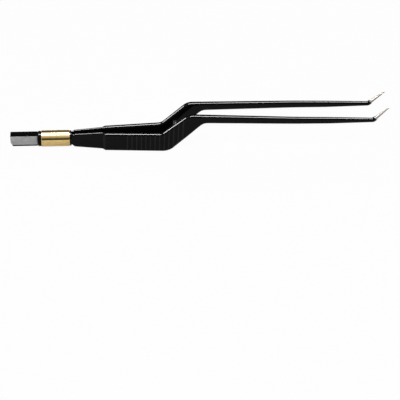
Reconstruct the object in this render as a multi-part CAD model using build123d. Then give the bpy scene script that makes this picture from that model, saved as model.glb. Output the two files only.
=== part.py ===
"""Bayonet bipolar forceps: two sprung, insulated arms held in a two-pole flat plug.

Frame: +X runs from the plug to the tips, Y is the opening direction and +Z is up. The origin lies
under the middle of the whole instrument, on the surface that the two grips stand on.
The arms are worked out in the sleeve's own frame first: X from the front face of the front collar,
Y and Z from the sleeve's axis. Sizes are in millimetres and angles in degrees.
"""
from build123d import *
from math import asin, atan2, cos, degrees, radians, sin, sqrt, tan
import os

# Plug and sleeve
BLADE_LENGTH = 15.4          # bare part of each contact blade, behind the rear collar
BLADE_HEIGHT = 6.6
CONTACT_THICKNESS = 1.0
CONTACT_PROUD = 0.1          # how far a blade stands out of the core's side
CONTACT_BEVEL = 0.25
TANG_HEIGHT = 5.4            # contact strip where it runs inside the sleeve
CORE_WEB = 2.4               # insulating web between the two poles
CORE_LIP = 0.2               # core above and below each blade
CORE_EDGE = 0.4
PLUG_NOSE_RISE = 2.5         # sloping lead-in under the rear end
PLUG_NOSE_DEPTH = 1.3
PLUG_NOSE_RADIUS = 1.0
REAR_COLLAR_LENGTH = 2.1
REAR_COLLAR_DIAMETER = 8.8
REAR_COLLAR_BEVEL = 0.6
SLEEVE_LENGTH = 16.2
SLEEVE_DIAMETER = 9.3
SLEEVE_WALL = 0.6
SLEEVE_BEVEL = 0.25
LINER_WALL = 0.3
FRONT_COLLAR_LENGTH = 0.95
FRONT_COLLAR_DIAMETER = 8.8
FRONT_COLLAR_BEVEL = 0.2
PIN_DIAMETER = 1.6
PIN_SPACING = 7.0
PIN_BITE = 0.8               # how far each pin reaches into the half clamps

# Arm seen from the side: lengths along X, levels above or below the sleeve's axis
ROOT_LENGTH = 2.3            # bare steel behind the front collar
ROOT_HEIGHT = 5.8            # over the coat, where the arm leaves the collar
FLARE_LENGTH = 1.6
NECK_LENGTH = 17.7
NECK_REAR_TOP = 3.5
NECK_REAR_BOTTOM = 3.6
NECK_FRONT_TOP = 4.7
NECK_FRONT_BOTTOM = 5.75
STEP_LENGTH = 1.7
GRIP_TOP = 5.2
GRIP_BOTTOM = 6.3
GRIP_LENGTH = 32.7           # top edge, from the step to the lower bend
ELBOW_OFFSET = 3.0           # lower corner of the grip, ahead of the lower bend
BAYONET_TOP_ANGLE = 41.0
BAYONET_BOTTOM_ANGLE = 46.5
SHAFT_RISE = 13.75           # top of the shaft above the top of the grip
SHAFT_REAR_HEIGHT = 4.3
SHAFT_LENGTH = 104.8         # from the upper bend to the bend at the tip
SHAFT_DROP = 2.85            # how far the shaft's top line falls along its length
SHAFT_FRONT_HEIGHT = 2.7
TIP_BEND_ANGLE = 45.0
TIP_BEND_REACH = 1.7         # insulated stretch after the bend
TIP_FACE_HEIGHT = 2.7

# Corner radii of the arm's outline seen from the side
ROOT_RADIUS = 1.0
STEP_RADIUS = 1.5
LOWER_BEND_RADIUS = 4.0
UPPER_BEND_RADIUS = 7.0
TIP_BEND_RADIUS = 1.6
UNDER_TIP_RADIUS = 3.0
UNDER_BEND_RADIUS = 5.0
ELBOW_RADIUS = 2.5

# Arm seen from above: distance of the inner face from the middle plane, and thickness over the coat
ROOT_GAP = 1.0
GRIP_REAR_GAP = 1.65
BAYONET_GAP = 4.6
SHAFT_MIDDLE_GAP = 6.65
SHAFT_END_GAP = 6.98
SHAFT_MIDDLE_PLACE = 59.5    # along the shaft, where the arm turns parallel
NECK_THICKNESS = 1.7
GRIP_THICKNESS = 3.2
BAYONET_THICKNESS = 3.0
SHAFT_MIDDLE_THICKNESS = 2.7
SHAFT_END_THICKNESS = 2.4
NECK_PLAN_RADIUS = 20.0
SPREAD_RADIUS = 60.0         # where the arms begin and end their spread
PARALLEL_RADIUS = 400.0      # where the shafts turn parallel
SHOULDER_RADIUS = 1.2

# Coat, ridges, tips and stop
COAT = 0.3                   # over the steel, and under the bottom of each groove
ARM_EDGE = 0.7               # radius along the arm's edges, over the coat
STEEL_EDGE = 0.2             # bevel along the steel's own edges
GROOVE_COUNT = 13
GROOVE_PITCH = 2.63
GROOVE_START = 12.4          # first groove, ahead of the step
GROOVE_WIDTH = 1.1
GROOVE_FLOOR = 0.4           # flat at the bottom of a groove
GROOVE_DEPTH = 0.28
TIP_LENGTH = 10.2
TIP_BASE_DIAMETER = 2.0
TIP_END_DIAMETER = 0.7
TIP_TOE_IN = 3.5             # each tip leans towards the other
TIP_FLAT_SHARE = 0.7         # inner flat, as a share of the radius from the tip's axis
RING_LENGTH = 0.3            # bare steel between the coat and the tip
STOP_DIAMETER = 3.0
STOP_SHANK_DIAMETER = 1.6
STOP_PLACE = 7.5             # ahead of the lower bend
STOP_LEVEL = 6.9
STOP_EDGE = 0.3

# Clearances
FIT = 0.03                   # between pieces that are pressed or bonded together
SWING_CLEARANCE = 0.15       # round each coated neck in the front collar
ROOT_CLEARANCE = 0.2         # outside each root, which swings by a few hundredths
STOP_CLEARANCE = 0.16        # left between the stop and the other arm when the tips meet
TIP_CLEARANCE = 0.05         # from each tip's end to the middle plane when the tips meet

# Places along the sleeve's axis
collar_back = -FRONT_COLLAR_LENGTH
sleeve_rear = collar_back - SLEEVE_LENGTH
blade_front = sleeve_rear - REAR_COLLAR_LENGTH
plug_rear = blade_front - BLADE_LENGTH
root_end = collar_back - ROOT_LENGTH
hinge_x = collar_back / 2
sleeve_bore = SLEEVE_DIAMETER / 2 - SLEEVE_WALL
liner_bore = sleeve_bore - LINER_WALL
contact_inner = CORE_WEB / 2
contact_outer = contact_inner + CONTACT_THICKNESS
core_height = BLADE_HEIGHT + 2 * CORE_LIP
core_side = contact_outer - CONTACT_PROUD    # the tangs are flush with the core

# Places along the arm
grip_rear = NECK_LENGTH + STEP_LENGTH
lower_bend = grip_rear + GRIP_LENGTH
shaft_top = GRIP_TOP + SHAFT_RISE
upper_bend = lower_bend + SHAFT_RISE / tan(radians(BAYONET_TOP_ANGLE))
shaft_bottom = shaft_top - SHAFT_REAR_HEIGHT
elbow = lower_bend + ELBOW_OFFSET
under_bend = elbow + (shaft_bottom + GRIP_BOTTOM) / tan(radians(BAYONET_BOTTOM_ANGLE))
tip_bend = upper_bend + SHAFT_LENGTH
shaft_end_top = shaft_top - SHAFT_DROP
shaft_end_middle = shaft_end_top - SHAFT_FRONT_HEIGHT / 2
tip_along = Vector(cos(radians(TIP_BEND_ANGLE)), 0, sin(radians(TIP_BEND_ANGLE)))
tip_across = Vector(-tip_along.Z, 0, tip_along.X)
coat_end = Vector(tip_bend, 0, shaft_end_middle) + tip_along * TIP_BEND_REACH
shaft_middle = upper_bend + SHAFT_MIDDLE_PLACE
arm_front = coat_end.X + TIP_FACE_HEIGHT


def between(x, x0, y0, x1, y1):
    """Height at x of the straight line through two points."""
    return y0 + (y1 - y0) * (x - x0) / (x1 - x0)


def meeting(point, slope, other, other_slope):
    """Point (x, z) where two lines cross, each given by a point and a slope."""
    x = (other[1] - point[1] + slope * point[0] - other_slope * other[0]) / (slope - other_slope)
    return x, point[1] + slope * (x - point[0])


def closed_face(plane, corners):
    """Face on a plane through (x, y, corner radius) corners."""
    points = [(x, y) for x, y, _ in corners]
    radii = [radius for _, _, radius in corners]
    return plane * make_face(FilletPolyline(*points, radius=radii, close=True))


def side_face(root_x, reach):
    """Arm outline seen from the side, from root_x to a square end at reach beyond the coat's end."""
    end = coat_end + tip_along * reach
    end_top = end + tip_across * (TIP_FACE_HEIGHT / 2)
    end_bottom = end - tip_across * (TIP_FACE_HEIGHT / 2)
    tip_slope = tan(radians(TIP_BEND_ANGLE))
    top_slope = -SHAFT_DROP / SHAFT_LENGTH
    bottom_end = shaft_end_top - SHAFT_FRONT_HEIGHT
    bottom_slope = (bottom_end - shaft_bottom) / (tip_bend - under_bend)
    bend_top = meeting((upper_bend, shaft_top), top_slope, (end_top.X, end_top.Z), tip_slope)
    bend_low = meeting((tip_bend, bottom_end), bottom_slope, (end_bottom.X, end_bottom.Z), tip_slope)
    return closed_face(Plane.XZ, [
        (root_x, ROOT_HEIGHT / 2, 0),
        (0, ROOT_HEIGHT / 2, ROOT_RADIUS),
        (FLARE_LENGTH, NECK_REAR_TOP, STEP_RADIUS),
        (NECK_LENGTH, NECK_FRONT_TOP, STEP_RADIUS),
        (grip_rear, GRIP_TOP, STEP_RADIUS),
        (lower_bend, GRIP_TOP, LOWER_BEND_RADIUS),
        (upper_bend, shaft_top, UPPER_BEND_RADIUS),
        (*bend_top, TIP_BEND_RADIUS),
        (end_top.X, end_top.Z, 0),
        (end_bottom.X, end_bottom.Z, 0),
        (*bend_low, UNDER_TIP_RADIUS),
        (under_bend, shaft_bottom, UNDER_BEND_RADIUS),
        (elbow, -GRIP_BOTTOM, ELBOW_RADIUS),
        (grip_rear, -GRIP_BOTTOM, STEP_RADIUS),
        (NECK_LENGTH, -NECK_FRONT_BOTTOM, STEP_RADIUS),
        (FLARE_LENGTH, -NECK_REAR_BOTTOM, STEP_RADIUS),
        (0, -ROOT_HEIGHT / 2, ROOT_RADIUS),
        (root_x, -ROOT_HEIGHT / 2, 0),
    ])


def inner_line():
    """Inner face of the left arm seen from above, as (x, y, radius) from root to tip."""
    return [
        (0, ROOT_GAP, NECK_PLAN_RADIUS),
        (grip_rear, GRIP_REAR_GAP, SPREAD_RADIUS),
        (upper_bend, BAYONET_GAP, SPREAD_RADIUS),
        (shaft_middle, SHAFT_MIDDLE_GAP, PARALLEL_RADIUS),
        (tip_bend, SHAFT_END_GAP, 0),
    ]


def plan_face(root_x, thinning):
    """Outline of the left arm seen from above, with its grip thinner by thinning on the outer side."""
    neck_front = between(NECK_LENGTH, 0, ROOT_GAP, grip_rear, GRIP_REAR_GAP) + NECK_THICKNESS
    inner = inner_line()
    last_gap = inner[-1][1]
    bayonet_outer = BAYONET_GAP + BAYONET_THICKNESS - thinning
    outer = [
        (arm_front, last_gap + SHAFT_END_THICKNESS, 0),
        (tip_bend, last_gap + SHAFT_END_THICKNESS, 0),
        (shaft_middle, SHAFT_MIDDLE_GAP + SHAFT_MIDDLE_THICKNESS, PARALLEL_RADIUS),
        (upper_bend, bayonet_outer, SPREAD_RADIUS),
        (grip_rear, GRIP_REAR_GAP + GRIP_THICKNESS - thinning, SHOULDER_RADIUS),
        (NECK_LENGTH, neck_front, STEP_RADIUS),
        (0, ROOT_GAP + NECK_THICKNESS, NECK_PLAN_RADIUS),
    ]
    start = [(root_x, ROOT_GAP, 0)]
    finish = [(arm_front, last_gap, 0)]
    return closed_face(Plane.XY, start + inner + finish + outer + [(root_x, ROOT_GAP + NECK_THICKNESS, 0)])


def arm_shape(side, plan):
    """Common part of an arm's two outlines, and its edges that run lengthwise."""
    body = extrude(side, 2 * arm_front, both=True) & extrude(plan, 2 * arm_front, both=True)
    body = body.solid()
    ends = [body.faces().sort_by(Axis.X)[0], body.faces().sort_by(Axis((0, 0, 0), tip_along))[-1]]
    end_edges = [edge for face in ends for edge in face.edges()]
    long_edges = [edge for edge in body.edges() if edge not in end_edges]
    return body, [edge for edge in long_edges if abs(edge.tangent_at(0.5).X) > 0.2]


def steel_arm():
    """Left arm's steel: the arm's outlines set in by the coat, with bevelled edges."""
    side = offset(side_face(root_end, RING_LENGTH), -COAT)
    plan = offset(plan_face(root_end, GROOVE_DEPTH), -COAT)
    body, edges = arm_shape(side, plan)
    return chamfer(edges, STEEL_EDGE)


def coated_arm():
    """Left arm over its coat, with rounded edges."""
    body, edges = arm_shape(side_face(collar_back, 0), plan_face(collar_back, 0))
    return fillet(edges, ARM_EDGE)


def groove_cutters():
    """Upright bars that cut the ridges across the left grip's outer face."""
    cutters = []
    for number in range(GROOVE_COUNT):
        x = grip_rear + GROOVE_START + number * GROOVE_PITCH
        inner = between(x, grip_rear, GRIP_REAR_GAP, upper_bend, BAYONET_GAP)
        thickness = between(x, grip_rear, GRIP_THICKNESS, upper_bend, BAYONET_THICKNESS)
        face = inner + thickness
        lip = GROOVE_DEPTH * GROOVE_WIDTH / (GROOVE_WIDTH - GROOVE_FLOOR)
        section = make_face(Polyline(
            (x - GROOVE_FLOOR / 2, face - GROOVE_DEPTH),
            (x + GROOVE_FLOOR / 2, face - GROOVE_DEPTH),
            (x + GROOVE_WIDTH, face + lip),
            (x - GROOVE_WIDTH, face + lip),
            close=True,
        ))
        cutters.append(Pos(0, 0, -2 * GRIP_BOTTOM) * extrude(section, shaft_top + 4 * GRIP_BOTTOM))
    return cutters


def stop_pieces():
    """Closing stop of the left arm, and the hole that its shank fills."""
    x = lower_bend + STOP_PLACE
    face = between(x, grip_rear, GRIP_REAR_GAP, upper_bend, BAYONET_GAP)
    thickness = between(x, grip_rear, GRIP_THICKNESS, upper_bend, BAYONET_THICKNESS)
    swing = (x - hinge_x) * tan(radians(closing_angle()))
    length = 2 * (face - swing) - STOP_CLEARANCE
    shank_length = thickness - 2 * COAT
    lean = (BAYONET_GAP - GRIP_REAR_GAP) / (upper_bend - grip_rear)
    towards = Plane(origin=(x, face, STOP_LEVEL), x_dir=(0, 0, 1), z_dir=(lean, -1, 0))
    button = extrude(towards * Circle(STOP_DIAMETER / 2), length)
    button = chamfer(button.edges().sort_by(Axis.Y)[0], STOP_EDGE)
    shank = extrude(towards * Circle(STOP_SHANK_DIAMETER / 2), -shank_length)
    hole = extrude(towards * Circle(STOP_SHANK_DIAMETER / 2 + FIT), -shank_length - FIT)
    return (button + shank).solid(), hole


def tip_axis():
    """Base centre and direction of the left tip."""
    middle = SHAFT_END_GAP + SHAFT_END_THICKNESS / 2
    base = coat_end + tip_along * RING_LENGTH + Vector(0, middle, 0)
    toe = radians(TIP_TOE_IN)
    return base, tip_along * cos(toe) - Vector(0, sin(toe), 0)


def tip_end():
    """Outermost point of the left tip's inner flat, and the centre of its round end."""
    base, along = tip_axis()
    centre = base + along * (TIP_LENGTH - TIP_END_DIAMETER / 2)
    return centre - Vector(0, TIP_FLAT_SHARE * TIP_END_DIAMETER / 2, 0), centre


def closing_angle():
    """Turn of one arm that brings its tip's end to the middle plane, less the clearance."""
    flat_end, _ = tip_end()
    reach_x = flat_end.X - hinge_x
    reach_y = flat_end.Y - hinge_y
    radius = sqrt(reach_x ** 2 + reach_y ** 2)
    return degrees(atan2(reach_y, reach_x) - asin((TIP_CLEARANCE - hinge_y) / radius))


def tip():
    """Left tip: a cone with a round end, a square seat on the arm and a flat inner face."""
    base, along = tip_axis()
    base_radius = TIP_BASE_DIAMETER / 2
    end_radius = TIP_END_DIAMETER / 2
    seat = base_radius
    middle = TIP_LENGTH - end_radius
    profile = make_face([
        Line((0, -seat), (base_radius, -seat)),
        Line((base_radius, -seat), (base_radius, 0)),
        Line((base_radius, 0), (end_radius, middle)),
        JernArc((end_radius, middle), (0, 1), end_radius, 90),
        Line((0, TIP_LENGTH), (0, -seat)),
    ])
    upright = Plane(origin=(0, 0, 0), x_dir=(1, 0, 0), z_dir=(0, -1, 0))
    cone = revolve(upright * profile, Axis.Z)
    flat_base = -TIP_FLAT_SHARE * base_radius
    flat_end = -TIP_FLAT_SHARE * end_radius
    deep = 4 * base_radius
    slope = (flat_end - flat_base) / middle
    low = flat_base - slope * seat
    high = flat_end + slope * end_radius
    keep = Plane.YZ * make_face(Polyline(
        (low, -seat), (high, TIP_LENGTH), (deep, TIP_LENGTH), (deep, -seat), close=True))
    cone = cone & extrude(keep, deep, both=True)
    placed = Plane(origin=base, x_dir=Vector(along.Z, 0, -along.X), z_dir=along) * cone
    seat_plane = Plane(origin=base, x_dir=(0, 1, 0), z_dir=tip_along)
    return (placed & extrude(seat_plane * Circle(deep), 2 * TIP_LENGTH)).solid()


def arm_pieces():
    """Steel and coat of an arm, as they are on the left."""
    steel = steel_arm()
    skin = coated_arm() - groove_cutters() - steel
    return steel.solid(), skin.solid()


def along_x(face, start, length):
    """Solid of a YZ face, drawn as (y, z), that starts at start and runs along +X."""
    return extrude(Plane(origin=(start, 0, 0), x_dir=(0, 1, 0), z_dir=(1, 0, 0)) * face, length)


def box_between(x0, x1, y0, y1, z0, z1):
    """Box between two corners."""
    return Pos((x0 + x1) / 2, (y0 + y1) / 2, (z0 + z1) / 2) * Box(x1 - x0, y1 - y0, z1 - z0)


def plug_nose():
    """What the rear end's sloping lead-in leaves of the plug, seen from the side."""
    low = -core_height
    return extrude(closed_face(Plane.XZ, [
        (plug_rear, core_height / 2, CORE_EDGE),
        (0, core_height, 0),
        (0, low, 0),
        (plug_rear + PLUG_NOSE_DEPTH, low, 0),
        (plug_rear + PLUG_NOSE_DEPTH, -core_height / 2, 0),
        (plug_rear, -core_height / 2 + PLUG_NOSE_RISE, PLUG_NOSE_RADIUS),
    ]), core_height, both=True)


def contact():
    """Left contact: a blade beside the core, and a narrower tang that runs to the arm's root."""
    blade = box_between(plug_rear, blade_front, contact_inner, contact_outer,
                        -BLADE_HEIGHT / 2, BLADE_HEIGHT / 2)
    outer_edges = blade.edges().filter_by(Axis.X).sort_by(Axis.Y)[-2:]
    blade = chamfer(outer_edges, CONTACT_BEVEL) & plug_nose()
    tang = box_between(blade_front, root_end - FIT, contact_inner, core_side,
                       -TANG_HEIGHT / 2, TANG_HEIGHT / 2)
    return (blade + tang - pin_bores()).solid()


def pin_places():
    """Centres of the two pins along the sleeve."""
    middle = (sleeve_rear + root_end) / 2
    return [middle - PIN_SPACING / 2, middle + PIN_SPACING / 2]


def pin_bar(x, grow, length):
    """Round bar across the sleeve at x."""
    return Pos(x, 0, 0) * Rot(90, 0, 0) * Cylinder(PIN_DIAMETER / 2 + grow, length)


def pin_bores():
    """Holes for the two pins through tangs, web and half clamps."""
    return [pin_bar(x, FIT, 2 * (core_side + PIN_BITE + FIT)) for x in pin_places()]


def plug_core():
    """Insulating core: the bar between the blades and the web between the tangs and the roots."""
    bar = box_between(plug_rear, sleeve_rear, -core_side, core_side, -core_height / 2, core_height / 2)
    bar = bar & plug_nose()
    slot_height = BLADE_HEIGHT / 2 + FIT
    slots = [
        box_between(2 * plug_rear, blade_front, contact_inner, 2 * core_side, -slot_height, slot_height),
        box_between(blade_front, sleeve_rear, contact_inner, 2 * core_side,
                    -TANG_HEIGHT / 2 - FIT, TANG_HEIGHT / 2 + FIT),
    ]
    slots += [mirror(slot, about=Plane.XZ) for slot in slots]
    disc = along_x(Circle(liner_bore - FIT), sleeve_rear, collar_back - sleeve_rear)
    web = disc & box_between(sleeve_rear, collar_back, -contact_inner, contact_inner,
                             -sleeve_bore, sleeve_bore)
    relief = box_between(root_end - FIT, collar_back, ROOT_GAP, 2 * contact_inner,
                         -sleeve_bore, sleeve_bore)
    reliefs = [relief, mirror(relief, about=Plane.XZ)]
    return (bar - slots + web - reliefs - pin_bores()).solid()


def rear_collar():
    """Rear collar: a ring round the plug's core with a window of the core's own section."""
    ring = along_x(Circle(REAR_COLLAR_DIAMETER / 2), blade_front, REAR_COLLAR_LENGTH)
    rear_edge = ring.edges().filter_by(GeomType.CIRCLE).sort_by(Axis.X)[0]
    ring = chamfer(rear_edge, REAR_COLLAR_BEVEL)
    window = Rectangle(2 * (core_side + FIT), core_height + 2 * FIT)
    return (ring - along_x(window, blade_front, REAR_COLLAR_LENGTH)).solid()


def sleeve():
    """Metal sleeve with bevelled ends."""
    tube = along_x(Circle(SLEEVE_DIAMETER / 2) - Circle(sleeve_bore), sleeve_rear, SLEEVE_LENGTH)
    rims = [edge for edge in tube.edges().filter_by(GeomType.CIRCLE)
            if edge.radius > SLEEVE_DIAMETER / 2 - FIT]
    return chamfer(rims, SLEEVE_BEVEL).solid()


def sleeve_liner():
    """Insulating tube between the sleeve and the two poles."""
    return along_x(Circle(sleeve_bore - FIT) - Circle(liner_bore), sleeve_rear, SLEEVE_LENGTH).solid()


def clamp():
    """Left half clamp, between the tang and the liner, with room for the arm's root to swing."""
    root_side = ROOT_GAP + NECK_THICKNESS - COAT + ROOT_CLEARANCE
    disc = along_x(Circle(liner_bore - FIT), sleeve_rear, SLEEVE_LENGTH)
    half = disc & box_between(sleeve_rear, collar_back, core_side, sleeve_bore,
                              -sleeve_bore, sleeve_bore)
    pocket = box_between(root_end - FIT, collar_back, 0, root_side, -sleeve_bore, sleeve_bore)
    return (half - pocket - pin_bores()).solid()


def front_collar():
    """Front collar: a ring with a window for each arm's coated neck."""
    ring = along_x(Circle(FRONT_COLLAR_DIAMETER / 2), collar_back, FRONT_COLLAR_LENGTH)
    front_edge = ring.edges().filter_by(GeomType.CIRCLE).sort_by(Axis.X)[-1]
    ring = chamfer(front_edge, FRONT_COLLAR_BEVEL)
    half_height = ROOT_HEIGHT / 2 + SWING_CLEARANCE
    window = box_between(2 * collar_back, FRONT_COLLAR_LENGTH, ROOT_GAP - SWING_CLEARANCE,
                         ROOT_GAP + NECK_THICKNESS + SWING_CLEARANCE, -half_height, half_height)
    return (ring - window - mirror(window, about=Plane.XZ)).solid()


def pin(x):
    """Insulating pin through both tangs, the web and into both half clamps."""
    return pin_bar(x, 0, 2 * (core_side + PIN_BITE))


def pieces():
    """All pieces by node name, in the sleeve's frame."""
    steel, skin = arm_pieces()
    stop, stop_hole = stop_pieces()
    paired = {
        "tip": tip(),
        "contact": contact(),
        "clamp": clamp(),
    }
    rear_pin_x, front_pin_x = pin_places()
    nodes = {
        "plug_core": plug_core(),
        "rear_collar": rear_collar(),
        "sleeve": sleeve(),
        "sleeve_liner": sleeve_liner(),
        "front_collar": front_collar(),
        "rear_pin": pin(rear_pin_x),
        "front_pin": pin(front_pin_x),
        "stop_button": stop,
        "left_arm": (steel - stop_hole).solid(),
        "left_insulation": (skin - stop_hole).solid(),
        "right_arm": mirror(steel, about=Plane.XZ),
        "right_insulation": mirror(skin, about=Plane.XZ),
    }
    for name, shape in paired.items():
        nodes["left_" + name] = shape
    for name, shape in paired.items():
        nodes["right_" + name] = mirror(shape, about=Plane.XZ)
    return nodes


hinge_y = ROOT_GAP + NECK_THICKNESS / 2
tip_front = tip_end()[1].X + TIP_END_DIAMETER / 2
to_row = Vector(-(plug_rear + tip_front) / 2, 0, GRIP_BOTTOM)

os.makedirs("parts", exist_ok=True)
for node, shape in pieces().items():
    export_step(Pos(to_row) * shape, f"parts/{node}.step")

hinge = Vector(hinge_x, hinge_y, 0) + to_row
print(f"left hinge at {hinge.X:.3f}, {hinge.Y:.3f}, {hinge.Z:.3f}")
print(f"closing angle {closing_angle():.3f} degrees")
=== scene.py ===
"""Looks of a bayonet bipolar forceps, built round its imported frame.

Every piece is in metres and in the frame's own axes: +X runs from the plug to the tips, +Y points
to the left arm and +Z up. Sizes are written in millimetres, and places along the instrument count
from the front face of the front collar, on the sleeve's axis.
"""

import logging
from dataclasses import dataclass, field
from enum import Enum
from math import cos, pi, radians, sin, sqrt, tan

import bpy
import numpy as np
from mathutils import Matrix, Vector


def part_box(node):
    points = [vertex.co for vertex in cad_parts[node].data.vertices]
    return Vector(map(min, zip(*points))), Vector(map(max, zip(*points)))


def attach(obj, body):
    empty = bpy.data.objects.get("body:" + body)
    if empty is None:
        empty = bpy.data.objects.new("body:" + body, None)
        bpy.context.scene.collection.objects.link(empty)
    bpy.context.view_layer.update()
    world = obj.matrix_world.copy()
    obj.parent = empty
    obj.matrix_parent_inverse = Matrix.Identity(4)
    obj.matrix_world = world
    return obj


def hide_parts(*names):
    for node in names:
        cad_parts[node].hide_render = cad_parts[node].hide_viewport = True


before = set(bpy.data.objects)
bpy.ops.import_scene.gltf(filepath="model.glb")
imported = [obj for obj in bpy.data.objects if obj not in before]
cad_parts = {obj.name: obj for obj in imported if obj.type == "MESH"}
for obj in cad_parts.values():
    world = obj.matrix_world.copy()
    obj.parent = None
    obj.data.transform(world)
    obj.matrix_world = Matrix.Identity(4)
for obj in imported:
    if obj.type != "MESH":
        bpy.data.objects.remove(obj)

MM = 0.001
LOG = logging.getLogger("forceps")

# What a node's input takes: another node's output, or a number
Value = bpy.types.NodeSocket | float


class Side(Enum):
    """Which arm or pole a piece belongs to, as the sign of its Y."""

    LEFT = 1
    RIGHT = -1

    @property
    def word(self) -> str:
        """The side's name as the nodes carry it."""
        return self.name.lower()

    @property
    def body(self) -> str:
        """The body that this side's arm rides on."""
        return f"{self.word}_side"


# Surfaces


def fillet_line(corners: np.ndarray, radii: np.ndarray, steps: int = 14) -> np.ndarray:
    """Polyline with round corners.

    A corner between unit directions a and b that turns by t is cut back by r tan(t / 2), and the
    arc's points are start + r (a sin(s) + n (1 - cos(s))), where n is a's normal towards b.

    Args:
        corners: Corner points, one row each, in a plane.
        radii: Radius at each corner, 0 for a sharp one.
        steps: Points along each arc.

    Returns:
        Points along the line, one row each.
    """
    runs = [corners[:1]]
    for before, corner, after, radius in zip(corners[:-2], corners[1:-1], corners[2:], radii[1:-1]):
        a = (corner - before) / np.linalg.norm(corner - before)
        b = (after - corner) / np.linalg.norm(after - corner)
        turn = np.arccos(np.clip(a @ b, -1, 1))
        if radius == 0 or turn < 1e-6:
            runs.append(corner[None])
            continue
        normal = (b - a * (a @ b)) / sin(turn)
        start = corner - a * radius * tan(turn / 2)
        s = np.linspace(0, turn, steps)[:, None]
        runs.append(start + radius * (a * np.sin(s) + normal * (1 - np.cos(s))))
    runs.append(corners[-1:])
    return np.concatenate(runs)


def arc_lengths(points: np.ndarray) -> np.ndarray:
    """Distance along a line at each of its points."""
    steps = np.linalg.norm(np.diff(points, axis=0), axis=1)
    return np.concatenate([[0], np.cumsum(steps)])


def along(points: np.ndarray, places: np.ndarray) -> np.ndarray:
    """Points of a line at the given distances along it."""
    lengths = arc_lengths(points)
    return np.stack([np.interp(places, lengths, column) for column in points.T], axis=1)


def smooth_step(x: np.ndarray, start: float, end: float) -> np.ndarray:
    """0 before start, 1 after end and 3t² - 2t³ between them."""
    t = np.clip((x - start) / (end - start), 0, 1)
    return t * t * (3 - 2 * t)


def grid_object(name: str, grid: np.ndarray, crease: float = 32.0, looped: bool = False) -> bpy.types.Object:
    """Closed mesh of a grid of points, whose columns go round the piece.

    Args:
        name: Name of the object and its mesh.
        grid: Points as rows along the piece, columns round it and x, y, z in metres.
        crease: Angle in degrees above which an edge stays sharp.
        looped: True where the last row joins the first, as on a ring; otherwise both ends are capped.

    Returns:
        The object, with its place in its mesh and its faces pointing outwards.
    """
    rows, columns = grid.shape[:2]
    count = rows if looped else rows - 1
    row, column = np.meshgrid(np.arange(count), np.arange(columns), indexing="ij")
    ahead = (row + 1) % rows
    beside = (column + 1) % columns
    quads = np.stack([row * columns + column, ahead * columns + column,
                      ahead * columns + beside, row * columns + beside], axis=-1).reshape(-1, 4)
    points = grid.reshape(-1, 3)
    ring = np.arange(columns)
    caps = [] if looped else [ring, ring[::-1] + (rows - 1) * columns]
    order = -1 if signed_volume(points, quads) < 0 else 1
    faces = quads[:, ::order].tolist() + [cap[::order].tolist() for cap in caps]
    mesh = bpy.data.meshes.new(name)
    mesh.from_pydata(points.tolist(), [], faces)
    mesh.update()
    mesh.shade_smooth()
    mesh.set_sharp_from_angle(angle=radians(crease))
    piece = bpy.data.objects.new(name, mesh)
    bpy.context.scene.collection.objects.link(piece)
    return piece


def signed_volume(points: np.ndarray, quads: np.ndarray) -> float:
    """Sum of a · (b × c) over each quad's two triangles, taken from the points' centre."""
    p = (points - points.mean(axis=0))[quads]
    return float(np.sum(p[:, 0] * (np.cross(p[:, 1], p[:, 2]) + np.cross(p[:, 2], p[:, 3]))))


def revolved(profile: np.ndarray, origin: Vector, axis: Vector, steps: int) -> np.ndarray:
    """Grid of a profile turned about an axis: origin + axis · place + radius (u cos t + w sin t).

    Args:
        profile: Rows of (place along the axis, radius).
        origin: Point where the place is 0.
        axis: Unit direction of the axis.
        steps: Columns round the axis.

    Returns:
        Points as rows along the profile and columns round it.
    """
    u = axis.orthogonal().normalized()
    w = axis.cross(u)
    t = np.linspace(0, 2 * pi, steps, endpoint=False)
    ring = np.cos(t)[:, None] * np.array(u) + np.sin(t)[:, None] * np.array(w)
    places = profile[:, 0, None, None] * np.array(axis)
    return np.array(origin) + places + profile[:, 1, None, None] * ring


def rounded_profile(corners: list[tuple[float, float, float]], steps: int = 5) -> np.ndarray:
    """Closed profile of (place, radius, corner radius) corners, in metres, with its corners rounded."""
    rows = np.array(corners) * MM
    loop = np.concatenate([rows[-1:], rows, rows[:1]])
    line = fillet_line(loop[:, :2], loop[:, 2], steps)
    return line[1:-1]


def inset_outline(outline: np.ndarray, inset: float) -> np.ndarray:
    """Closed convex outline moved inwards: each corner goes to where its two shifted edges meet."""
    before = outline - np.roll(outline, 1, axis=0)
    after = np.roll(outline, -1, axis=0) - outline
    before /= np.linalg.norm(before, axis=1, keepdims=True)
    after /= np.linalg.norm(after, axis=1, keepdims=True)
    area = np.sum(outline[:, 0] * np.roll(outline[:, 1], -1) - outline[:, 1] * np.roll(outline[:, 0], -1))
    turn = np.sign(area)
    n0 = turn * np.stack([-before[:, 1], before[:, 0]], axis=1)
    n1 = turn * np.stack([-after[:, 1], after[:, 0]], axis=1)
    return outline + inset * (n0 + n1) / (1 + np.sum(n0 * n1, axis=1, keepdims=True))


def prism_grid(outline: np.ndarray, rows: np.ndarray) -> np.ndarray:
    """Grid of an outline in X and Z carried along Y.

    Args:
        outline: Closed outline as rows of (x, z), without a repeated end.
        rows: Rows of (y, inset), where the outline at that y is moved inwards by inset.

    Returns:
        Points as rows along Y and columns round the outline.
    """
    rings = []
    for y, inset in rows:
        ring = inset_outline(outline, inset)
        rings.append(np.stack([ring[:, 0], np.full(len(ring), y), ring[:, 1]], axis=1))
    return np.stack(rings)


# Finishes


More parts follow.
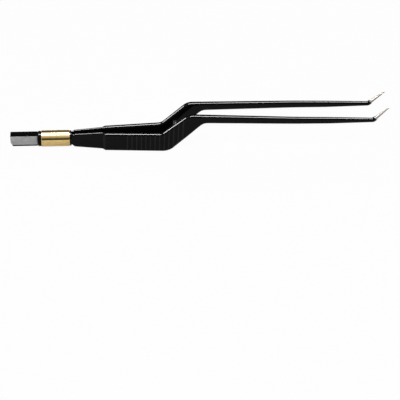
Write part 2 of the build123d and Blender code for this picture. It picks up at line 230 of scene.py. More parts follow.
class Nodes:
    """Short calls that add and join the nodes of one tree."""

    def __init__(self, tree: bpy.types.NodeTree) -> None:
        """Keeps the tree."""
        self.tree = tree

    def add(self, kind: str, **inputs: object) -> bpy.types.Node:
        """Adds a node, with constant values for the inputs named with _ for each space."""
        node = self.tree.nodes.new(kind)
        for name, value in inputs.items():
            node.inputs[name.replace("_", " ")].default_value = value
        return node

    def join(self, source: bpy.types.NodeSocket, target: bpy.types.NodeSocket) -> None:
        """Links an output to an input."""
        self.tree.links.new(source, target)

    def feed(self, value: Value, target: bpy.types.NodeSocket) -> None:
        """Links an output to an input, or sets a number there."""
        if isinstance(value, bpy.types.NodeSocket):
            self.join(value, target)
        else:
            target.default_value = value

    def maths(self, operation: str, first: Value, second: Value) -> bpy.types.NodeSocket:
        """Result of an operation on two outputs or numbers."""
        node = self.add("ShaderNodeMath")
        node.operation = operation
        self.feed(first, node.inputs[0])
        self.feed(second, node.inputs[1])
        return node.outputs[0]

    def span(self, factor: bpy.types.NodeSocket, low: Value, high: Value,
             source: tuple[float, float] = (0.3, 0.7)) -> bpy.types.NodeSocket:
        """A factor's range source carried to low and high."""
        node = self.add("ShaderNodeMapRange")
        for name, value in zip(("From Min", "From Max", "To Min", "To Max"), (*source, low, high)):
            self.feed(value, node.inputs[name])
        self.join(factor, node.inputs["Value"])
        return node.outputs["Result"]


class Shader(Nodes):
    """Nodes of one material, with a Principled shader on its output."""

    def __init__(self, name: str) -> None:
        """Starts the material."""
        self.material = bpy.data.materials.new(name)
        self.material.use_nodes = True
        super().__init__(self.material.node_tree)
        self.tree.nodes.clear()
        self.output = self.add("ShaderNodeOutputMaterial")
        self.surface = self.add("ShaderNodeBsdfPrincipled")
        self.join(self.surface.outputs["BSDF"], self.output.inputs["Surface"])

    def place(self, scale: tuple[float, float, float] = (1, 1, 1)) -> bpy.types.NodeSocket:
        """Object coordinates, stretched by scale along each axis."""
        coordinates = self.add("ShaderNodeTexCoord")
        mapping = self.add("ShaderNodeMapping", Scale=scale)
        self.join(coordinates.outputs["Object"], mapping.inputs["Vector"])
        return mapping.outputs["Vector"]

    def noise(self, where: bpy.types.NodeSocket, scale: float, detail: float = 3.0) -> bpy.types.NodeSocket:
        """Noise factor at a place, with scale cells to the metre."""
        node = self.add("ShaderNodeTexNoise", Scale=scale, Detail=detail)
        self.join(where, node.inputs["Vector"])
        return node.outputs["Fac"]

    def mark(self, name: str) -> bpy.types.NodeSocket:
        """Value of a mesh's attribute."""
        node = self.add("ShaderNodeAttribute")
        node.attribute_name = name
        return node.outputs["Fac"]

    def blend(self, factor: bpy.types.NodeSocket, low: tuple, high: tuple) -> bpy.types.NodeSocket:
        """Colour between low and high by a factor."""
        node = self.add("ShaderNodeMix")
        node.data_type = "RGBA"
        node.inputs[6].default_value = (*low, 1)
        node.inputs[7].default_value = (*high, 1)
        self.join(factor, node.inputs[0])
        return node.outputs[2]

    def bump(self, height: bpy.types.NodeSocket, strength: float, depth: float) -> None:
        """Bump of a height that is depth metres deep."""
        node = self.add("ShaderNodeBump", Strength=strength, Distance=depth)
        self.join(height, node.inputs["Height"])
        self.drive("Normal", node.outputs["Normal"])

    def drive(self, name: str, source: bpy.types.NodeSocket) -> None:
        """Links an output to the Principled shader's input of that name."""
        self.join(source, self.surface.inputs[name])

    def set(self, **values: object) -> None:
        """Sets constant values on the Principled shader."""
        for name, value in values.items():
            self.surface.inputs[name.replace("_", " ")].default_value = value


@dataclass(frozen=True)
class GlossCoat:
    """Black insulating coat: glossy, with a faint orange peel and a painted highlight along the ridges."""

    colour: tuple[float, float, float] = (0.0018, 0.0018, 0.0022)
    # lighter colour on the groove lips: a painted highlight
    ridge_highlight: tuple[float, float, float] = (0.015, 0.0155, 0.0165)
    roughness: tuple[float, float] = (0.05, 0.09)
    specular: float = 0.12
    mottle: float = 160.0
    peel: float = 900.0
    peel_bump: tuple[float, float] = (0.12, 0.00002)
    wear_mark: str = "painted_ridge_highlight"

    def material(self) -> bpy.types.Material:
        """Builds the coat's material."""
        shader = Shader("gloss_coat")
        shader.set(Specular_IOR_Level=self.specular)
        # the ridges' mark lifts the colour towards the lighter one: a painted highlight along the grooves
        shader.drive("Base Color", shader.blend(shader.mark(self.wear_mark), self.colour, self.ridge_highlight))
        where = shader.place()
        shader.drive("Roughness", shader.span(shader.noise(where, self.mottle), *self.roughness))
        shader.bump(shader.noise(where, self.peel, detail=2.0), *self.peel_bump)
        return shader.material


@dataclass(frozen=True)
class Metal:
    """Metal with a faintly clouded colour under a fine grain."""

    name: str
    light: tuple[float, float, float]
    dark: tuple[float, float, float]
    roughness: tuple[float, float]
    grain: float
    grain_detail: float = 2.0
    grain_stretch: tuple[float, float, float] = (1, 1, 1)
    grain_bump: tuple[float, float] = (0.3, 0.000012)
    clouds: float = 500.0

    def material(self) -> bpy.types.Material:
        """Builds the metal's material."""
        shader = Shader(self.name)
        shader.set(Metallic=1.0)
        grain = shader.noise(shader.place(self.grain_stretch), self.grain, self.grain_detail)
        clouds = shader.noise(shader.place(), self.clouds)
        shader.drive("Base Color", shader.blend(shader.span(clouds, 0, 1), self.dark, self.light))
        shader.drive("Roughness", shader.span(grain, *self.roughness))
        shader.bump(grain, *self.grain_bump)
        return shader.material


@dataclass(frozen=True)
class TurnedGold(Metal):
    """Gold-coloured plated metal, whose stretched grain is the lathe's fine rings round the sleeve."""

    name: str = "turned_gold"
    light: tuple[float, float, float] = (0.83, 0.62, 0.27)
    dark: tuple[float, float, float] = (0.70, 0.49, 0.19)
    roughness: tuple[float, float] = (0.08, 0.13)
    grain: float = 5200.0
    grain_detail: float = 4.0
    grain_stretch: tuple[float, float, float] = (1, 0.02, 0.02)
    grain_bump: tuple[float, float] = (0.2, 0.000004)
    clouds: float = 300.0


@dataclass(frozen=True)
class BlastedNickel(Metal):
    """Bead-blasted nickel plate: an even, fine, matte grey."""

    name: str = "blasted_nickel"
    light: tuple[float, float, float] = (0.55, 0.55, 0.55)
    dark: tuple[float, float, float] = (0.46, 0.46, 0.465)
    roughness: tuple[float, float] = (0.42, 0.55)
    grain: float = 9000.0


@dataclass(frozen=True)
class GroundTip:
    """Bare tip metal: polished lengthwise outside, and ground matte on the inner flat."""

    polished: tuple[float, float, float] = (0.55, 0.51, 0.47)
    ground: tuple[float, float, float] = (0.50, 0.43, 0.37)
    roughness: tuple[float, float] = (0.28, 0.5)
    grinding: float = 7000.0
    grinding_stretch: tuple[float, float, float] = (0.4, 1, 0.4)
    grinding_bump: tuple[float, float] = (0.25, 0.00001)
    flat_mark: str = "ground_flat"

    def material(self) -> bpy.types.Material:
        """Builds the tips' material, which reads the mesh's mark of the inner flat."""
        shader = Shader("ground_tip")
        shader.set(Metallic=1.0)
        flat = shader.mark(self.flat_mark)
        shader.drive("Base Color", shader.blend(flat, self.polished, self.ground))
        shader.drive("Roughness", shader.span(flat, *self.roughness, source=(0, 1)))
        shader.bump(shader.noise(shader.place(self.grinding_stretch), self.grinding), *self.grinding_bump)
        return shader.material


@dataclass(frozen=True)
class MouldedPlastic:
    """Moulded insulating plastic with a faint satin grain."""

    name: str
    colour: tuple[float, float, float]
    roughness: tuple[float, float] = (0.12, 0.18)
    specular: float = 0.06
    grain: float = 4000.0
    grain_bump: tuple[float, float] = (0.15, 0.00001)

    def material(self) -> bpy.types.Material:
        """Builds the plastic's material."""
        shader = Shader(self.name)
        shader.set(Base_Color=(*self.colour, 1), Specular_IOR_Level=self.specular)
        grain = shader.noise(shader.place(), self.grain, detail=2.0)
        shader.drive("Roughness", shader.span(grain, *self.roughness))
        shader.bump(grain, *self.grain_bump)
        return shader.material


class Finishes:
    """One material for each finish of the instrument."""

    def __init__(self) -> None:
        """Builds every material."""
        self.coat = GlossCoat().material()
        self.gold = TurnedGold().material()
        self.contact = BlastedNickel().material()
        self.steel = Metal(
            "spring_steel", (0.62, 0.62, 0.61), (0.56, 0.56, 0.55), (0.22, 0.3), 6000.0).material()
        self.tip = GroundTip().material()
        self.plug = MouldedPlastic("plug_plastic", (0.003, 0.003, 0.003)).material()
        self.inner = MouldedPlastic("inner_plastic", (0.012, 0.012, 0.012), (0.4, 0.5)).material()
        self.stop = MouldedPlastic("stop_plastic", (0.03, 0.031, 0.034), (0.22, 0.3), 0.2).material()


def dress(piece: bpy.types.Object, material: bpy.types.Material) -> None:
    """Gives a piece one material, in place of any that it has."""
    piece.data.materials.clear()
    piece.data.materials.append(material)


def hand_over(piece: bpy.types.Object, node: str, body: str, material: bpy.types.Material) -> None:
    """Finishes a piece: hides its node, puts it on its body in the frame, gives it its material and logs a
    line.
    """
    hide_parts(node)
    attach(piece, body)
    dress(piece, material)
    LOG.info("%s: %d faces", piece.name, len(piece.data.polygons))


# Handle: plug, sleeve and collars


@dataclass
class Sleeve:
    """Turned sleeve and the two collars at its ends, all on one axis."""

    bevel: float = 0.25
    wall: float = 0.6
    rear_bevel: float = 0.6
    rear_bore: float = 1.0
    rounding: float = 0.12
    rim_rounding: float = 0.05
    rear_rounding: float = 0.1
    joint_rounding: float = 0.04
    steps: int = 128

    def tube(self, length: float, outer: float) -> list[tuple[float, float, float]]:
        """The sleeve's profile: a thin ring with small round bevels."""
        b, bore = self.bevel, outer - self.wall
        return [
            (0, bore, self.rim_rounding), (0, outer - b, self.rounding), (b, outer, self.rounding),
            (length - b, outer, self.rounding), (length, outer - b, self.rounding),
            (length, bore, self.rim_rounding),
        ]

    def disc(self, length: float, outer: float) -> list[tuple[float, float, float]]:
        """The rear collar's profile: a ring round the plug's core, with a bevel towards the plug."""
        b = self.rear_bevel
        return [
            (0, self.rear_bore, 0), (0, outer - b, self.rear_rounding), (b, outer, self.rear_rounding),
            (length, outer, self.joint_rounding), (length, self.rear_bore, 0),
        ]

    def build(self, finishes: Finishes) -> None:
        """Turns both profiles about their nodes' own axis, and dresses the front collar."""
        for name, node, profile, slot, material in (
            ("sleeve_shell", "sleeve", self.tube, "sleeve_gold", finishes.gold),
            ("rear_flange", "rear_collar", self.disc, "plug_plastic", finishes.plug),
        ):
            low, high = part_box(node)
            line = rounded_profile(profile((high.x - low.x) / MM, (high.z - low.z) / 2 / MM))
            rear = Vector((low.x, (low.y + high.y) / 2, (low.z + high.z) / 2))
            grid = revolved(line, rear, Vector((1, 0, 0)), self.steps)
            hand_over(grid_object(name, grid, looped=True), node, "handle", material)
        dress(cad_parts["front_collar"], finishes.plug)


@dataclass
class Plug:
    """Flat two-pole plug: a black core between two blasted contact blades."""

    nose_rise: float = 2.5
    nose_depth: float = 1.3
    radii: tuple[float, float, float] = (0.4, 1.0, 0.4)
    core_bevel: float = 0.12
    lip: float = 0.35
    foot_lip: float = 0.85
    blade_bevel: float = 0.25
    core_depth: float = 2.1
    corner_steps: int = 7

    def outline(self, lip: float, foot_lip: float) -> np.ndarray:
        """Closed outline in X and Z, lip inside the core's top and foot_lip inside its bottom.

        The lead-in runs from (rear, bottom + rise) to (rear + depth, bottom), and is met at the
        outline's foot at rear + depth (1 - foot_lip / rise).
        """
        blade_low, blade_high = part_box("left_contact")
        top = blade_high.z + (self.lip - lip) * MM
        core_foot = blade_low.z - self.lip * MM
        foot = core_foot + foot_lip * MM
        rear, collar = blade_low.x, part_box("rear_collar")[0].x
        depth = self.nose_depth * (1 - foot_lip / self.nose_rise) * MM
        corners = np.array([
            (collar, top), (rear, top), (rear, core_foot + self.nose_rise * MM),
            (rear + depth, foot), (collar, foot),
        ])
        return fillet_line(corners, np.array([0, *self.radii, 0]) * MM, self.corner_steps)

    def core(self) -> bpy.types.Object:
        """The core between the blades: the outline carried along Y, with small bevels."""
        b = self.core_bevel * MM
        depth = self.core_depth * MM
        rows = np.array([(-depth, b), (-depth + b, 0), (depth - b, 0), (depth, b)])
        return grid_object("plug_body", prism_grid(self.outline(0.0, 0.0), rows))

    def blade(self, side: Side) -> bpy.types.Object:
        """One contact blade, proud of the core, with a bevel round its outer face."""
        low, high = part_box(f"{side.word}_contact")
        outer, inner = (high.y, low.y) if side is Side.LEFT else (low.y, high.y)
        b = self.blade_bevel * MM
        edge = b / 3
        sign = side.value
        rows = np.array([
            (inner, 0), (outer - sign * b, 0), (outer - sign * (b - edge), edge / 3),
            (outer - sign * edge / 3, b - edge), (outer, b),
        ])
        return grid_object(f"{side.word}_blade", prism_grid(self.outline(self.lip, self.foot_lip), rows))

    def build(self, finishes: Finishes) -> None:
        """Builds and hands over the core and both blades, and dresses what the sleeve hides."""
        hand_over(self.core(), "plug_core", "handle", finishes.plug)
        for side in Side:
            hand_over(self.blade(side), f"{side.word}_contact", "handle", finishes.contact)
        for node in ("sleeve_liner", "left_clamp", "right_clamp", "rear_pin", "front_pin"):
            dress(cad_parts[node], finishes.inner)


# Arms


def front_face() -> Vector:
    """Middle of the front collar's front face, from which the arms' sizes and the camera count."""
    low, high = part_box("front_collar")
    return Vector((high.x, 0, (low.z + high.z) / 2))


@dataclass
class ArmLines:
    """The arm's outlines: sizes along X from the front collar, levels from the sleeve's axis."""

    root_height: float = 5.8
    flare: float = 1.6
    neck: float = 17.7
    neck_rear: tuple[float, float] = (4.1, -4.55)
    neck_front: tuple[float, float] = (5.3, -6.05)
    step: float = 1.7
    grip_top: tuple[float, float] = (5.3, 5.6)
    grip_bottom: float = -6.3
    grip_length: float = 32.1
    elbow_offset: float = 4.2
    top_angle: float = 42.2
    bottom_angle: float = 46.5
    rise: float = 13.4
    shaft_rear_height: float = 5.15
    shaft_length: float = 106.12
    shaft_drop: float = 3.05
    taper_place: float = 81.4
    taper: tuple[float, float] = (16.85, 13.0)
    shaft_front_height: float = 2.55
    tip_angle: float = 45.0
    tip_reach: float = 1.7
    face_height: float = 2.6
    root_gap: float = 1.0
    grip_gap: float = 1.65
    bayonet_gap: float = 4.5
    middle_gap: float = 6.6
    end_gap: float = 6.98
    middle_place: float = 60.8
    neck_thickness: float = 1.7
    grip_thickness: float = 3.35
    bayonet_thickness: float = 3.2
    middle_thickness: float = 2.75
    end_thickness: float = 2.4
    collar: float = 0.95
    top_radii: tuple[float, ...] = (0, 1.0, 1.5, 1.5, 1.5, 4.0, 7.5, 60.0, 1.6, 0)
    bottom_radii: tuple[float, ...] = (0, 1.0, 1.5, 1.5, 1.5, 9.0, 5.0, 60.0, 3.0, 0)
    inner_radii: tuple[float, ...] = (0, 20.0, 60.0, 60.0, 400.0, 0)
    outer_radii: tuple[float, ...] = (0, 20.0, 1.5, 1.2, 60.0, 400.0, 0)

    def __post_init__(self) -> None:
        """Works out the bends from the driving sizes."""
        self.grip_rear = self.neck + self.step
        self.lower_bend = self.grip_rear + self.grip_length
        self.shaft_top = self.grip_top[1] + self.rise
        self.upper_bend = self.lower_bend + self.rise / tan(radians(self.top_angle))
        self.shaft_bottom = self.shaft_top - self.shaft_rear_height
        self.elbow = self.lower_bend + self.elbow_offset
        climb = self.shaft_bottom - self.grip_bottom
        self.under_bend = self.elbow + climb / tan(radians(self.bottom_angle))
        self.tip_bend = self.upper_bend + self.shaft_length
        self.end_top = self.shaft_top - self.shaft_drop
        self.taper_start = self.upper_bend + self.taper_place
        self.end_bottom = self.end_top - self.shaft_front_height
        self.direction = np.array([cos(radians(self.tip_angle)), sin(radians(self.tip_angle))])
        self.forward = np.array([self.direction[0], 0, self.direction[1]])
        self.across = np.array([-self.direction[1], self.direction[0]])
        middle = np.array([self.tip_bend, (self.end_top + self.end_bottom) / 2])
        self.coat_end = middle + self.direction * self.tip_reach
        self.middle = self.upper_bend + self.middle_place
        self.front = self.coat_end[0] + self.face_height

    def corner(self, point: tuple[float, float], towards: tuple[float, float], end: np.ndarray) -> np.ndarray:
        """Point where the line through two points meets the line back along the tip from end."""
        run = np.array(towards) - np.array(point)
        solved = np.linalg.solve(np.stack([run, -self.direction], axis=1), end - np.array(point))
        return np.array(point) + run * solved[0]

    def top(self) -> np.ndarray:
        """Upper outline from the collar to the coat's end, as (x, z) rows."""
        end = self.coat_end + self.across * self.face_height / 2
        bend = self.corner((self.taper_start, self.taper[0]), (self.tip_bend, self.end_top), end)
        corners = np.array([
            (-self.collar, self.root_height / 2), (0, self.root_height / 2),
            (self.flare, self.neck_rear[0]), (self.neck, self.neck_front[0]),
            (self.grip_rear, self.grip_top[0]), (self.lower_bend, self.grip_top[1]),
            (self.upper_bend, self.shaft_top), (self.taper_start, self.taper[0]), bend, end,
        ])
        return fillet_line(corners, np.array(self.top_radii))

    def bottom(self) -> np.ndarray:
        """Lower outline from the collar to the coat's end, as (x, z) rows."""
        end = self.coat_end - self.across * self.face_height / 2
        bend = self.corner((self.taper_start, self.taper[1]), (self.tip_bend, self.end_bottom), end)
        corners = np.array([
            (-self.collar, -self.root_height / 2), (0, -self.root_height / 2),
            (self.flare, self.neck_rear[1]), (self.neck, self.neck_front[1]),
            (self.grip_rear, self.grip_bottom), (self.elbow, self.grip_bottom),
            (self.under_bend, self.shaft_bottom), (self.taper_start, self.taper[1]), bend, end,
        ])
        return fillet_line(corners, np.array(self.bottom_radii))

    def inner(self) -> np.ndarray:
        """Inner face seen from above, as (x, y) rows."""
        corners = np.array([
            (-self.collar, self.root_gap), (0, self.root_gap), (self.grip_rear, self.grip_gap),
            (self.upper_bend, self.bayonet_gap), (self.middle, self.middle_gap),
            (self.front, self.end_gap),
        ])
        return fillet_line(corners, np.array(self.inner_radii))

    def outer(self) -> np.ndarray:
        """Outer face seen from above, as (x, y) rows."""
        share = self.neck / self.grip_rear
        neck_front = self.root_gap + (self.grip_gap - self.root_gap) * share + self.neck_thickness
        corners = np.array([
            (-self.collar, self.root_gap + self.neck_thickness), (0, self.root_gap + self.neck_thickness),
            (self.neck, neck_front), (self.grip_rear, self.grip_gap + self.grip_thickness),
            (self.upper_bend, self.bayonet_gap + self.bayonet_thickness),
            (self.middle, self.middle_gap + self.middle_thickness),
            (self.front, self.end_gap + self.end_thickness),
        ])
        return fillet_line(corners, np.array(self.outer_radii))

    def tip_base(self) -> np.ndarray:
        """Coat's end on the arm's middle line, as x, y, z on the left."""
        return np.array([self.coat_end[0], self.end_gap + self.end_thickness / 2, self.coat_end[1]])


@dataclass
class ArmBar:
    """Bar that follows one arm's lines: rounded sections, square to the arm at its front end."""

    side: Side
    lines: ArmLines
    neck_edge: float = 0.83
    grip_edge: float = 1.5
    shaft_edge: float = 1.18
    inset: float = 0.0
    corner_steps: int = 12
    face_steps: int = 8
    section_counts: tuple[int, int, int] = (90, 90, 60)
    past_step: float = 1.5
    past_bend: float = 5.0
    before_tip: float = 3.0
    turning_sections: int = 35
    blend_past: tuple[float, float] = (1.0, 6.0)

    def places(self) -> np.ndarray:
        """Distances along X at which the upright sections stand."""
        lines = self.lines
        stops = (-lines.collar, lines.grip_rear + self.past_step,
                 lines.upper_bend + self.past_bend, lines.tip_bend - self.before_tip)
        runs = zip(stops[:-1], stops[1:], self.section_counts)
        return np.unique(np.concatenate([np.linspace(start, end, count) for start, end, count in runs]))

    def stations(self) -> tuple[np.ndarray, np.ndarray]:
        """Ends of each section, on the upper and the lower outline, as (x, z) rows.

        The sections stand upright as far as the tip's bend. From there both outlines are shared
        out by their own length, so that the sections turn with the bend.
        """
        upright = self.places()
        share = np.linspace(0, 1, self.turning_sections + 1)[1:]
        ends = []
        for line in (self.lines.top(), self.lines.bottom()):
            lengths = arc_lengths(line)
            start = np.interp(upright[-1], line[:, 0], lengths)
            straight = np.stack([upright, np.interp(upright, line[:, 0], line[:, 1])], axis=1)
            turning = along(line, start + share * (lengths[-1] - start))
            ends.append(np.concatenate([straight, turning]))
        return ends[0], ends[1]

    def edge(self, x: np.ndarray) -> np.ndarray:
        """Radius of the long edges at x: small on the neck, full on the grip and less on the shaft."""
        lines = self.lines
        full = smooth_step(x, lines.neck, lines.grip_rear + self.blend_past[0])
        slim = smooth_step(x, lines.lower_bend, lines.upper_bend + self.blend_past[1])
        radius = self.neck_edge + (self.grip_edge - self.neck_edge) * full
        return radius + (self.shaft_edge - self.grip_edge) * slim - self.inset

    def section(self) -> tuple[np.ndarray, ...]:
        """Columns of a section: each one's side across and up, and its place on its round corner.

        Returns:
            Across (-1 inner, 1 outer), up (-1 bottom, 1 top and between them on a face), and the
            corner's cosine and sine.
        """
        quarter = np.linspace(0, pi / 2, self.corner_steps)
        flat = np.linspace(0, 1, self.face_steps + 2)[1:-1]
        zero = np.zeros_like(flat)
        across, up, c, s = [], [], [], []
        for sign_y, sign_z, angles in ((1, -1, quarter[::-1]), (1, 1, quarter),
                                       (-1, 1, quarter[::-1]), (-1, -1, quarter)):
            across.append(np.full_like(angles, sign_y))
            up.append(np.full_like(angles, sign_z))
            c.append(np.cos(angles))
            s.append(np.sin(angles))
            if sign_y * sign_z < 0:
                across.append(zero + sign_y)
                up.append(sign_y * (2 * flat - 1))
                c.append(zero + 1)
                s.append(zero)
        return tuple(np.concatenate(parts) for parts in (across, up, c, s))

    def outer_face(self, x: np.ndarray) -> np.ndarray:
        """Distance of the outer face from the middle plane at x."""
        outer = self.lines.outer()
        return np.interp(x, outer[:, 0], outer[:, 1]) - self.inset

    def grid(self) -> np.ndarray:
        """Grid of the bar on the left arm, in millimetres.

        A section's point is its middle + up · (half height - corner) + corner · sine along the
        section, and the same across it with the cosine. The corner is stretched along the section
        by 1 over the sine of the angle between the section and the outline, at most by 2, as a
        rolled edge is on a slope. No point stands out past outer_face at its own x.
        """
        top, bottom = self.stations()
        across, up, c, s = self.section()
        span = np.linalg.norm(top - bottom, axis=1)[:, None]
        upwards = (top - bottom) / span
        slopes = []
        for line in (top, bottom):
            tangent = np.gradient(line, axis=0)
            tangent /= np.linalg.norm(tangent, axis=1, keepdims=True)
            crossing = np.abs(tangent[:, 0] * upwards[:, 1] - tangent[:, 1] * upwards[:, 0])
            slopes.append(1 / np.clip(crossing, 0.5, 1))
        weight = (up[None] + 1) / 2
        stretch = slopes[0][:, None] * weight + slopes[1][:, None] * (1 - weight)
        edge = self.edge((top[:, :1] + bottom[:, :1]) / 2)
        corner = edge * stretch
        half = span / 2 - self.inset * stretch
        middle = (top + bottom) / 2
        lift = up * (half - corner) + np.where(np.abs(up) < 1, 0, np.sign(up) * corner * s)
        x = middle[:, :1] + upwards[:, :1] * lift
        z = middle[:, 1:] + upwards[:, 1:] * lift
        inner = self.lines.inner()
        inside = np.interp(x, inner[:, 0], inner[:, 1]) + self.inset
        outside = ArmBar.outer_face(self, x)
        y = (inside + outside) / 2 + across * ((outside - inside) / 2 - edge + edge * c)
        return np.stack([x, np.minimum(y, self.outer_face(x)), z], axis=2)

    def placed(self, name: str, grid: np.ndarray, origin: Vector) -> bpy.types.Object:
        """A left arm's grid as a closed mesh on this side of the frame."""
        turned = grid.copy()
        turned[..., 1] *= self.side.value
        return grid_object(f"{self.side.word}_{name}", turned * MM + np.array(origin))


@dataclass
class Coat(ArmBar):
    """Moulded coat over one arm, with upright ridges across the grip's outer face."""

    rim: float = 0.1
    rim_steps: int = 5
    ridge_steps: int = 20
    groove_start: float = 12.4
    groove_count: int = 13
    groove_pitch: float = 2.63
    groove_width: float = 1.1
    groove_depth: float = 0.28
    # width and depth of the painted highlight that lightens the coat along each groove
    wear_width: float = 0.42
    wear_depth: tuple[float, float] = (0.5, 1.1)
    wear_mark: str = "painted_ridge_highlight"

    def places(self) -> np.ndarray:
        """The bar's own places, with ridge_steps to each ridge."""
        first = self.lines.grip_rear + self.groove_start - self.groove_pitch
        last = first + (self.groove_count + 1) * self.groove_pitch
        places = super().places()
        ridges = np.linspace(first, last, (self.groove_count + 1) * self.ridge_steps + 1)
        return np.unique(np.concatenate([places[(places < first) | (places > last)], ridges]))

    def from_groove(self, x: np.ndarray) -> np.ndarray:
        """Distance from x to the middle of the nearest groove."""
        start = self.lines.grip_rear + self.groove_start
        number = np.clip(np.round((x - start) / self.groove_pitch), 0, self.groove_count - 1)
        return np.abs(x - start - number * self.groove_pitch)

    def outer_face(self, x: np.ndarray) -> np.ndarray:
        """The bar's outer face, pressed in by the grooves.

        Each groove is depth · (1 - s)² (1 + 2 s), with s the distance from its middle over half
        its width, up to 1, so that its floor and its lips run smoothly into the face.
        """
        s = np.clip(self.from_groove(x) / (self.groove_width / 2), 0, 1)
        return super().outer_face(x) - self.groove_depth * (1 - s) ** 2 * (1 + 2 * s)

    def wear(self, grid: np.ndarray) -> np.ndarray:
        """Strength of the painted highlight at each point of the grid, from 0 to 1, which lightens the coat's
        colour along the grooves.

        Along the arm it is (1 - t²)² with t the distance from a groove's middle over the highlight's half
        width. It fades from the outer face towards the arm's middle.
        """
        t = np.clip(self.from_groove(grid[..., 0]) / self.wear_width, 0, 1)
        depth = super().outer_face(grid[..., 0]) - grid[..., 1]
        return (1 - t * t) ** 2 * (1 - smooth_step(depth, *self.wear_depth))

    def rimmed(self, grid: np.ndarray) -> np.ndarray:
        """The grid with a small round rim at its front end, a quarter circle of rows."""
        last = grid[-1]
        centre = (last.max(axis=0) + last.min(axis=0)) / 2
        spread = last - centre
        half = np.linalg.norm(spread, axis=1, keepdims=True)
        angles = np.linspace(0, pi / 2, self.rim_steps)[:, None, None]
        shrink = 1 - self.rim * (1 - np.cos(angles)) / half
        rows = centre + spread * shrink + self.lines.forward * self.rim * (np.sin(angles) - 1)
        return np.concatenate([grid[:-1], rows])

    def piece(self, origin: Vector) -> bpy.types.Object:
        """The coat as a closed mesh in the frame."""
        grid = self.rimmed(self.grid())
        piece = self.placed("coat", grid, origin)
        # the painted highlight along the grooves, which the coat's colour reads
        attribute = piece.data.attributes.new(self.wear_mark, "FLOAT", "POINT")
        attribute.data.foreach_set("value", self.wear(grid).ravel().astype(np.float32))
        return piece


@dataclass
class Spring(ArmBar):
    """Spring steel inside the coat, bare behind the front collar and in a ring before the tip."""

    inset: float = 0.35
    root: float = 2.3
    ring: float = 0.3

    def piece(self, origin: Vector) -> bpy.types.Object:
        """The steel as a closed mesh: the bar with a row added at its root and one at its ring."""
        grid = self.grid()
        root = grid[0] - np.array([self.root, 0, 0])
        grid = np.concatenate([root[None], grid, (grid[-1] + self.lines.forward * self.ring)[None]])
        return self.placed("spring", grid, origin)


@dataclass
class Tip:
    """Bare tip: a round-ended cone with a flat inner face, leaning towards the other tip."""

    side: Side
    lines: ArmLines
    ring: float = 0.3
    length: float = 10.2
    base_radius: float = 1.0
    end_radius: float = 0.35
    toe_in: float = 3.5
    flat_share: float = 0.7
    flat_steps: int = 8
    round_steps: int = 56
    cone_rows: int = 40
    end_rows: int = 12
    closing: float = 0.01
    mark: str = "ground_flat"

    def profile(self) -> np.ndarray:
        """Rows of (place along the tip, radius): a straight cone and a round end."""
        places = np.linspace(-self.ring, self.length - self.end_radius, self.cone_rows)
        share = np.clip(places / (self.length - self.end_radius), 0, 1)
        radii = self.base_radius + (self.end_radius - self.base_radius) * share
        angles = np.linspace(0, pi / 2, self.end_rows)[1:]
        end = self.length - self.end_radius + self.end_radius * np.sin(angles)
        closing = np.maximum(self.end_radius * np.cos(angles), self.closing)
        return np.concatenate([np.stack([places, radii], axis=1), np.stack([end, closing], axis=1)])

    def piece(self, origin: Vector) -> bpy.types.Object:
        """The tip as a closed mesh: radius (cos, sin), cut off at flat_share of the cone's radius."""
        base, forward = self.lines.tip_base(), self.lines.forward
        toe = radians(self.toe_in)
        axis = forward * cos(toe) - np.array([0, sin(toe), 0])
        inwards = -np.array([0, cos(toe), 0]) - forward * sin(toe)
        upwards = np.cross(axis, inwards)
        edge = np.arccos(self.flat_share)
        angles = np.concatenate([np.linspace(-edge, edge, self.flat_steps, endpoint=False),
                                 np.linspace(edge, 2 * pi - edge, self.round_steps, endpoint=False)])
        profile = self.profile()
        middle = self.length - self.end_radius
        slope = (self.end_radius - self.base_radius) / middle
        limit = self.flat_share * (self.base_radius + slope * np.clip(profile[:, 0], 0, self.length))
        across = np.minimum(profile[:, 1, None] * np.cos(angles), limit[:, None])
        up = profile[:, 1, None] * np.sin(angles)
        start = base + forward * self.ring
        grid = (start + profile[:, 0, None, None] * axis
                + across[..., None] * inwards + up[..., None] * upwards)
        grid[..., 1] *= self.side.value
        piece = grid_object(f"{self.side.word}_point", grid * MM + np.array(origin), crease=28.0)
        self.mark_flat(piece, len(angles))
        return piece

    def mark_flat(self, piece: bpy.types.Object, columns: int) -> None:
        """Writes 1 on the faces of the inner flat and 0 on the rest, for the finish to read."""
        faces = len(piece.data.polygons)
        column = np.arange(faces) % columns
        marks = (column < self.flat_steps) & (np.arange(faces) < faces - 2)
        attribute = piece.data.attributes.new(self.mark, "FLOAT", "FACE")
        attribute.data.foreach_set("value", marks.astype(np.float32))


@dataclass
class Stop:
    """Round closing stop on the left arm's inner face."""

    lines: ArmLines
    diameter: float = 3.0
    place: float = 8.1
    level: float = 6.9
    edge: float = 0.45
    seat: float = 0.4
    closing: float = 0.01
    edge_steps: int = 8
    steps: int = 72

    def piece(self, origin: Vector) -> bpy.types.Object:
        """The stop as a turned button whose axis stands square on the arm's inner face.

        It reaches as far as the CAD's, less what its tilted rim sticks out.
        """
        lines = self.lines
        x = lines.lower_bend + self.place
        slope = (lines.bayonet_gap - lines.grip_gap) / (lines.upper_bend - lines.grip_rear)
        face = lines.grip_gap + slope * (x - lines.grip_rear)
        axis = Vector((slope, -1, 0)).normalized()
        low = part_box("stop_button")[0]
        radius = self.diameter / 2
        length = (face - low.y / MM - slope * radius * sqrt(1 - axis.y ** 2)) / -axis.y
        profile = rounded_profile([
            (-self.seat, self.closing, 0), (-self.seat, radius, 0),
            (length, radius, self.edge), (length, self.closing, 0),
        ], self.edge_steps)
        centre = Vector((x, face, self.level)) * MM + origin
        return grid_object("stop_pad", revolved(profile, centre, axis, self.steps), looped=True)


